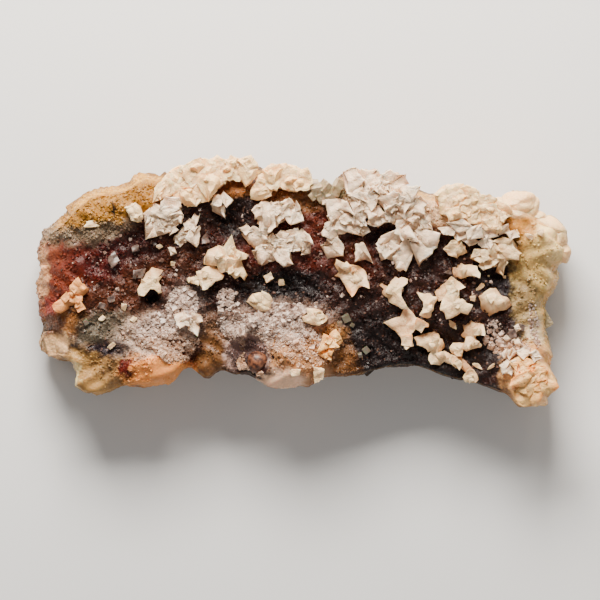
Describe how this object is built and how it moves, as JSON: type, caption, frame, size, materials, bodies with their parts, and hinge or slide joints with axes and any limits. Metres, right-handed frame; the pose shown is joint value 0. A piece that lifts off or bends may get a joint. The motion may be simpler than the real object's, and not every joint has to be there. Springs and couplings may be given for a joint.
{
  "type": "mineral specimen",
  "caption": "Flat-lying mineral specimen: a slab of honey-brown fluorite crusted with clusters of curved, sharp-cornered white barite crystals.",
  "frame": {"origin": "centre of the bounding box in plan, at the height of the flat broken back that the specimen lies on", "axes": "+X along the slab's length towards the end with the large corner crust, +Y towards the crested long rim, +Z out of the crystal side, away from the surface it lies on"},
  "size_m": [0.1072, 0.0505, 0.0226],
  "materials": {
    "fluorite_honey": "crusted with small crystals, honey brown to dark red-brown, partly glassy",
    "barite_white": "pearly matte white",
    "barite_cream": "pearly cream, faintly translucent",
    "barite_peach": "translucent peach with orange tips"
  },
  "bodies": {
    "root": {"fluorite_slab": "fluorite_honey", "barite_left_star": "barite_peach", "barite_kite": "barite_cream", "barite_pale_dome": "barite_cream", "barite_chip_upper_left": "barite_white", "barite_crest_left": "barite_white", "barite_upper_left_mass": "barite_white", "barite_upper_left_rosette": "barite_white", "barite_small_twin": "barite_white", "barite_crest_middle": "barite_white", "barite_upper_centre_mass": "barite_white", "barite_lower_centre_mass": "barite_white", "barite_centre_star": "barite_cream", "barite_plate_centre": "barite_cream", "barite_mushroom": "barite_cream", "barite_lower_left_pair": "barite_white", "barite_cream_tooth": "barite_cream", "barite_orange_blades": "barite_peach", "barite_notch_stack": "barite_white", "barite_arch": "barite_white", "barite_molar": "barite_cream", "barite_upper_right_mass": "barite_white", "barite_crest_right": "barite_white", "barite_flat_blades": "barite_white", "barite_olive_block": "barite_cream", "barite_right_fan": "barite_cream", "barite_sill": "barite_white", "barite_pyramids": "barite_cream", "barite_hook": "barite_cream", "barite_forked_crystal": "barite_cream", "barite_lower_star": "barite_peach", "barite_lower_chain": "barite_cream", "barite_right_rosette": "barite_cream", "barite_corner_crust": "barite_peach"}
  },
  "joints": []
}
